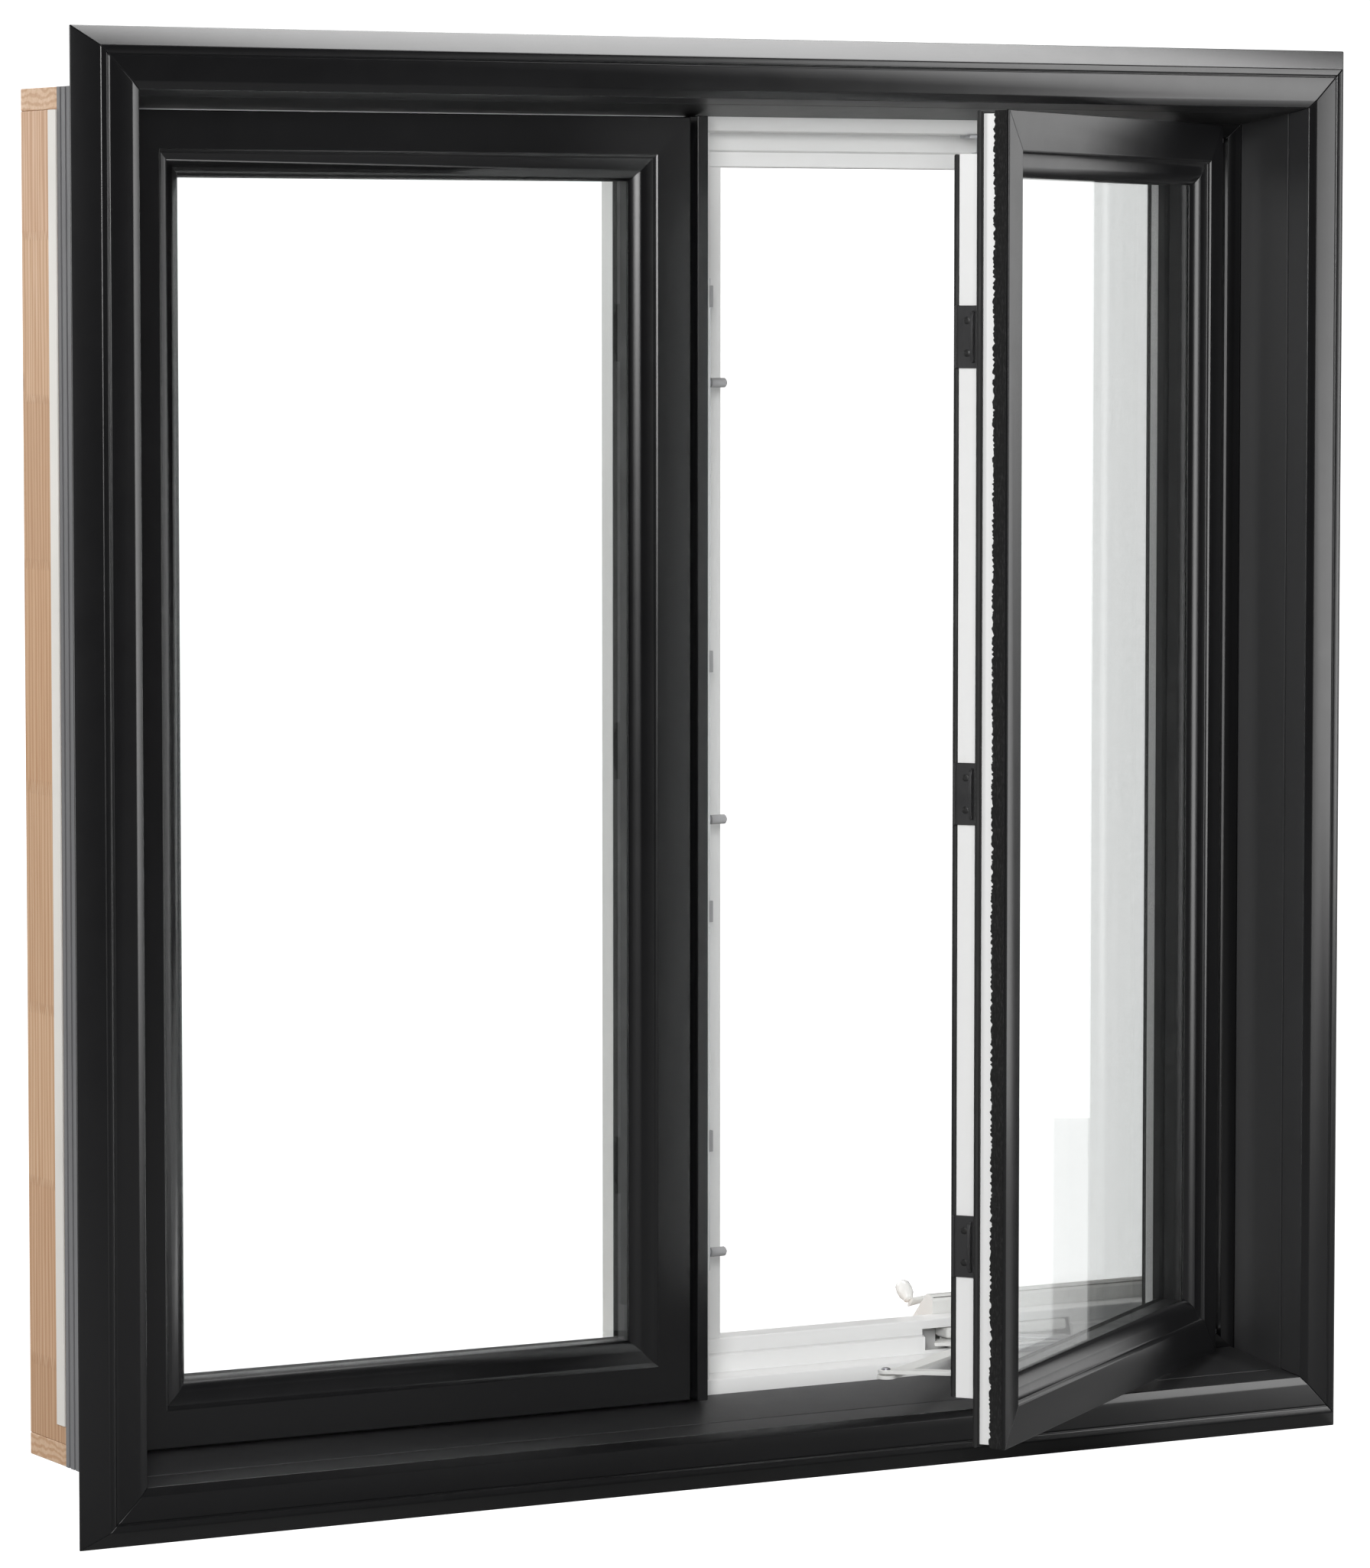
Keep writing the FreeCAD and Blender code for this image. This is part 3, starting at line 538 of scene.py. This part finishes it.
def sashes():
    """Both sash frames with their cladding, beads, spacers and panes."""
    refined("left_sash_frame", "white_pvc", 0.0005)
    refined("left_sash_cladding", "black_cladding", 0.0004)
    for bar in SASH_BARS:
        refined(f"right_{bar}", "white_pvc", 0.0005)
        refined(f"right_{bar}_cladding", "black_cladding", 0.0004)
    for side in ("left", "right"):
        bead = refined(f"{side}_glazing_beads", "white_pvc", 0.0006)
        back = (OPEN if side == "right" else SHUT).inverted()
        # Painted shade: black rubber on the bead's glass side, a gasket lip made wider to stand for
        # shade.
        repaint(bead, "rubber", lambda centre: (back @ centre).y < SASH_FRONT + BEAD_SHADE_DEPTH)
        refined(f"{side}_spacer", "spacer", 0.0003)
    for node in ("left_glass_panes", "right_outer_pane", "right_inner_pane"):
        NODES[node].data.materials.clear()
        NODES[node].data.materials.append(MATERIALS["glass"])


def seals():
    """Bulb seals on both sashes and the ragged pile round the open sash's edge."""
    squeezed = bulb((6 * MM, 24 * MM), 1.25 * MM, 2 * MM, 23 * MM)
    ring_sweep("left_outer_bulb", squeezed, LEFT_EDGES, "rubber", "window", SHUT, ("left_sash_seals",))
    squeezed = bulb((37.6 * MM, 57 * MM), 1.65 * MM, 2.3 * MM, 55 * MM)
    ring_sweep("left_inner_bulb", squeezed, LEFT_EDGES, "rubber", "window", SHUT)
    for name, inset, middle, radius, foot_half, foot, share in (
        ("outer", 3.1, 25.8, 2.7, 2.2, 22.9, 0.27),
        ("inner", 36.8, 57.6, 2.6, 2.4, 54.9, 0.8),
    ):
        relaxed = bulb((inset * MM, middle * MM), radius * MM, foot_half * MM, foot * MM)
        ring = ring_sweep(f"right_{name}_bulb", relaxed, RIGHT_EDGES, "rubber", "right_sash", OPEN,
                          (f"right_{name}_seal",))
        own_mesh(ring)
    draw = random.Random(4)

    def ragged(j, inset, depth):
        if j in (2, 3):
            depth += draw.uniform(-1.3, 1.6) * MM
        inset += draw.uniform(-0.15, 0.15) * MM
        return max(inset, 0.1 * MM), depth

    tuft = [(2 * MM, 3.3 * MM), (0.4 * MM, 3.3 * MM), (0.7 * MM, 12.7 * MM), (2.9 * MM, 13.7 * MM)]
    ring_sweep("right_pile", tuft, RIGHT_EDGES, "pile", "right_sash", OPEN, ("right_pile_strip",),
               ragged, 1.6 * MM)


# ---- lock ----

KEEPER_HEIGHTS = (181 * MM, 547 * MM, 913 * MM)
KEEPER_SCREW_STEPS = (-13 * MM, 13 * MM)
LOCK_TRAVEL = 40 * MM
KEEPER_FACE = RIGHT_EDGES[0] + 34 * MM


def cross_screw(name, start, direction, radius, body, place, material="screw", replaces=()):
    """A countersunk screw head with a cross recess."""
    head = [(radius * 0.5, -0.8 * MM), (radius, 0), (radius * 0.94, 0.25 * MM),
            (radius * 0.6, 0.5 * MM), (radius * 0.2, 0.55 * MM)]
    lathe(name, head, start, direction, material, body, place, replaces)
    arm, wide = radius * 0.62, radius * 0.13
    cross = [(arm, -wide), (arm, wide), (wide, wide), (wide, arm), (-wide, arm), (-wide, wide),
             (-arm, wide), (-arm, -wide), (-wide, -wide), (-wide, -arm), (wide, -arm), (wide, -wide)]
    out = Vector(direction).normalized()
    u = out.orthogonal().normalized()
    v = out.cross(u)
    recess_start = Vector(start) + out * 0.42 * MM
    plate(name + "_recess", cross, recess_start, u, v, 0.2 * MM, "rubber", body, place)


def keepers():
    """Three cast keepers: plate, rim, pulled lug and two cross-head screws each."""
    outward, inward, up = (-1, 0, 0), (0, 1, 0), (0, 0, 1)
    half = 25 * MM
    thick = 2 * MM
    low_y, high_y = 75 * MM, 97.5 * MM
    rim_y, lug_y, screw_y = high_y - 2.4 * MM, 79.8 * MM, 87 * MM
    outline = [(low_y, -half + 3 * MM), (low_y + 3 * MM, -half), (high_y, -half), (high_y, half),
               (low_y + 3 * MM, half), (low_y, half - 3 * MM)]
    rim = [(rim_y, -half), (high_y, -half), (high_y, half), (rim_y, half)]
    lug = [(2 * MM, -21 * MM), (2 * MM, 21 * MM), (6.4 * MM, 19 * MM), (8 * MM, 14 * MM),
           (8 * MM, -14 * MM), (6.4 * MM, -19 * MM)]
    for n, height in enumerate(KEEPER_HEIGHTS):
        base = plate(f"keeper_plate_{n}", outline, (KEEPER_FACE, 0, height), inward, up, -thick,
                     "keeper", "right_sash", OPEN, ("keepers",) if n == 0 else ())
        soften(base, 0.5 * MM, 3)
        edge = plate(f"keeper_rim_{n}", rim, (KEEPER_FACE - thick, 0, height), inward, up,
                     -1.4 * MM, "keeper", "right_sash", OPEN)
        soften(edge, 0.5 * MM, 3)
        hook = plate(f"keeper_lug_{n}", lug, (KEEPER_FACE, lug_y, height), outward, up,
                     2.8 * MM, "keeper", "right_sash", OPEN)
        soften(hook, 0.7 * MM, 3)
        for k, step in enumerate(KEEPER_SCREW_STEPS):
            cross_screw(f"keeper_screw_{n}_{k}", (KEEPER_FACE - thick, screw_y, height + step),
                        outward, 2.9 * MM, "right_sash", OPEN, "black_screw",
                        ("keeper_screws",) if n == k == 0 else ())


def lock():
    """Tie bar, guides, lever and the three rollers on the bar."""
    refined("lock_bar", "upright_steel", 0.0003)
    refined("lock_guides", "grey_plastic", 0.0005)
    refined("lock_escutcheon", "cover", 0.0014, 4)
    refined("lock_lever", "white_metal", 0.0016, 4)
    bar_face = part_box("lock_bar")[1].x
    middle_y = 75.4 * MM
    for n, height in enumerate(KEEPER_HEIGHTS):
        nodes = ("lock_rollers",) if n == 0 else ()
        outline = [(2.2 * MM, 0), (2.2 * MM, 1.6 * MM), (4 * MM, 1.9 * MM), (4 * MM, 15.4 * MM),
                   (3.4 * MM, 16 * MM), (2.2 * MM, 16.2 * MM), (2 * MM, 17 * MM), (0.6 * MM, 17.2 * MM)]
        lathe(f"lock_roller_{n}", outline, (bar_face, middle_y, height - LOCK_TRAVEL), (1, 0, 0),
              "grey_plastic", "lock_bar", replaces=nodes)


# ---- hinges and operator ----

def rivets():
    """Domed rivet heads on every pivot, at the sill and mirrored at the head."""
    dome = [(3.9 * MM, 0), (3.8 * MM, 0.6 * MM), (3.1 * MM, 1.2 * MM), (1.6 * MM, 1.6 * MM),
            (0.3 * MM, 1.7 * MM)]
    for name, joint, body, level in (("arm", "sash_turn", "support_arms", 49 * MM),
                                     ("link", "shoe_link_turn", "shoe_links", 49 * MM)):
        spot = Vector(JOINTS[joint]["pos_m"])
        for end, height, way in (("sill", level, -1), ("head", 2 * SASH_MIDDLE - level, 1)):
            spot.z = height
            lathe(f"{name}_rivet_{end}", dome, spot.copy(), (0, 0, way), "screw", body)
    spot = Vector(JOINTS["arm_swing"]["pos_m"])
    for end, height, way in (("sill", 51.5 * MM, 1), ("head", 2 * SASH_MIDDLE - 51.5 * MM, -1)):
        spot.z = height
        lathe(f"pivot_cap_{end}", [(7 * MM, 0)] + [(r * 1.8, z * 1.1 + 0.2 * MM) for r, z in dome],
              spot.copy(), (0, 0, way), "screw", "support_arms")
    spot = Vector(JOINTS["operator_link_turn"]["pos_m"])
    spot.z = 48.5 * MM
    lathe("drive_rivet", dome, spot, (0, 0, 1), "screw", "operator_link")


def hinges():
    """The sliding hinge at sill and head, and the operator without its crank."""
    refined("hinge_tracks", "hinge_steel", 0.0003)
    refined("support_arms", "hinge_steel", 0.0004)
    refined("shoe_links", "hinge_steel", 0.0004)
    refined("hinge_shoes", "grey_plastic", 0.0008, 3)
    refined("sash_hinge_plates", "hinge_steel", 0.0004)
    refined("operator_bracket", "hinge_steel", 0.0006)
    refined("operator_arm", "white_metal", 0.0004)
    refined("operator_link", "white_metal", 0.0004)
    refined("operator_base", "white_metal", 0.0006)
    refined("operator_cover", "cover", 0.0022, 5)
    base_low, base_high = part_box("operator_base")
    slot_low, slot_high = 44.7 * MM, 54.3 * MM
    room_side, depth = 97 * MM, 22 * MM
    mouth = [(base_low.x, slot_low), (base_high.x, slot_low), (base_high.x, slot_high),
             (base_low.x, slot_high)]
    housing = plate("operator_housing", mouth, (0, room_side, 0), (1, 0, 0), (0, 0, 1), -depth,
                    "cover", "window")
    soften(housing, 3 * MM, 5)
    refined("operator_worm", "zinc", 0.0004)
    rivets()


def crank():
    """The folding crank: hub with a skirt, a curved tapering arm and a turned knob."""
    hub = Vector(JOINTS["crank_turn"]["pos_m"])
    tip = Vector(JOINTS["knob_spin"]["pos_m"])
    out = Vector(JOINTS["crank_turn"]["axis"]).normalized()
    collar = [(4 * MM, -8 * MM), (4 * MM, 1 * MM), (9.6 * MM, 1.2 * MM), (9.2 * MM, 4 * MM),
              (8.2 * MM, 10 * MM), (7.4 * MM, 12 * MM), (5.2 * MM, 13.2 * MM), (1 * MM, 13.6 * MM)]
    lathe("crank_hub", collar, hub, out, "white_metal", "crank", replaces=("crank_handle",))
    start = hub + out * 9.9 * MM
    reach = tip - start
    along = reach.normalized()
    side = out.cross(along)
    bm = bmesh.new()
    loops = []
    steps, ring_points = 28, 16
    for k in range(steps + 1):
        part = k / steps
        centre = start + reach * part + out * (math.sin(part * math.pi) * 3.2 * MM)
        wide = (6.6 - 2.4 * math.sin(part * math.pi * 0.9)) * MM
        thick = (2.6 - 0.5 * part) * MM
        loops.append([bm.verts.new(centre + side * wide * math.cos(a) + out * thick * math.sin(a))
                      for a in (2 * math.pi * i / ring_points for i in range(ring_points))])
    for here, there in zip(loops, loops[1:]):
        bridge(bm, here, there)
    bm.faces.new(list(reversed(loops[0])))
    bm.faces.new(loops[-1])
    add_mesh("crank_arm", bm, "white_metal", "crank")
    knob = [(2.4 * MM, 1.6 * MM), (4.2 * MM, 3 * MM), (4.6 * MM, 5 * MM), (6.6 * MM, 9 * MM),
            (7 * MM, 14 * MM), (6.4 * MM, 19 * MM), (4.4 * MM, 21.6 * MM), (1 * MM, 22 * MM)]
    lathe("crank_grip", knob, tip, out, "cover", "crank_knob", replaces=("crank_knob",))


# ---- stage, light and camera ----

def stage():
    """A pale floor, a white backdrop sky and seven soft boxes."""
    bm = bmesh.new()
    bmesh.ops.create_grid(bm, x_segments=2, y_segments=2, size=30)
    mesh = bpy.data.meshes.new("floor")
    bm.to_mesh(mesh)
    bm.free()
    floor = bpy.data.objects.new("floor", mesh)
    bpy.context.scene.collection.objects.link(floor)
    floor.location.z = cad_box[0][2] - 0.0005
    paint = Shader("floor_paint", (0.3, 0.3, 0.3), 0.9)
    paint.surface.inputs["Specular IOR Level"].default_value = 0.0
    glow = paint.node("ShaderNodeEmission")
    glow.inputs["Strength"].default_value = 1.3
    seen_floor = paint.node("ShaderNodeMixShader")
    floor_ray = paint.node("ShaderNodeLightPath")
    seen_or_through = paint.sums("MAXIMUM", floor_ray.outputs["Is Camera Ray"],
                                 floor_ray.outputs["Is Transmission Ray"])
    paint.join(seen_or_through, seen_floor.inputs[0])
    paint.join(paint.surface.outputs[0], seen_floor.inputs[1])
    paint.join(glow.outputs[0], seen_floor.inputs[2])
    paint.join(seen_floor.outputs[0], paint.tree.nodes["Material Output"].inputs[0])
    floor.data.materials.append(paint.material)

    world = bpy.data.worlds.new("studio")
    bpy.context.scene.world = world
    world.use_nodes = True
    nodes, links = world.node_tree.nodes, world.node_tree.links
    sky = nodes["Background"]
    sky.inputs["Color"].default_value = (1, 1, 1, 1)
    sky.inputs["Strength"].default_value = 0.05
    seen = nodes.new("ShaderNodeBackground")
    seen.inputs["Color"].default_value = (1, 1, 1, 1)
    seen.inputs["Strength"].default_value = 1.3
    ray = nodes.new("ShaderNodeLightPath")
    both = nodes.new("ShaderNodeMixShader")
    clear = nodes.new("ShaderNodeMath")
    clear.operation = "MAXIMUM"
    links.new(ray.outputs["Is Camera Ray"], clear.inputs[0])
    links.new(ray.outputs["Is Transmission Ray"], clear.inputs[1])
    links.new(clear.outputs[0], both.inputs[0])
    links.new(sky.outputs[0], both.inputs[1])
    links.new(seen.outputs[0], both.inputs[2])
    links.new(both.outputs[0], nodes["World Output"].inputs[0])

    for name, spot, target, width, height, power in (
        ("right_box", (2.15, -1.95, 0.9), (0.5, 0, 0.6), 0.9, 2.2, 34),
        ("front_box", (2.5, -2.6, 0.9), (0.4, 0, 0.6), 1.2, 2.4, 9),
        ("fill_box", (-2.3, -3.3, 1.7), (0, 0, 0.5), 1.5, 1.5, 125),
        ("side_box", (2.6, 0.45, 0.7), (0.3, -0.15, 0.6), 0.8, 2.4, 9),
        ("top_box", (1.0, 0.45, 2.9), (0.2, 0.05, 1.1), 2.8, 1.1, 60),
        ("left_box", (-2.8, 0.8, 1.0), (-0.55, 0.15, 0.6), 1.2, 2.0, 34),
        ("room_box", (-0.6, 2.6, 1.9), (0.2, 0.05, 0.5), 2.2, 2.2, 42),
    ):
        lamp = bpy.data.lights.new(name, "AREA")
        lamp.shape = "RECTANGLE"
        lamp.size, lamp.size_y = width, height
        lamp.energy = power
        item = bpy.data.objects.new(name, lamp)
        bpy.context.scene.collection.objects.link(item)
        item.location = spot
        item.rotation_euler = (Vector(target) - Vector(spot)).to_track_quat("-Z", "Y").to_euler()
        item.visible_camera = False
        item.visible_transmission = False


def camera():
    """Outside, to the left and a little above, with a long lens."""
    lens = bpy.data.cameras.new("camera")
    lens.sensor_width = 36
    lens.lens = 152.23
    lens.clip_end = 200
    item = bpy.data.objects.new("camera", lens)
    bpy.context.scene.collection.objects.link(item)
    item.location = (-2.7076, -4.7579, 0.9517)
    item.rotation_euler = (math.radians(90 - 4.276), 0, math.radians(-29.172))
    bpy.context.scene.camera = item
    bpy.context.scene.view_settings.view_transform = "Standard"


outer_parts()
sashes()
seals()
keepers()
lock()
hinges()
crank()
stage()
camera()
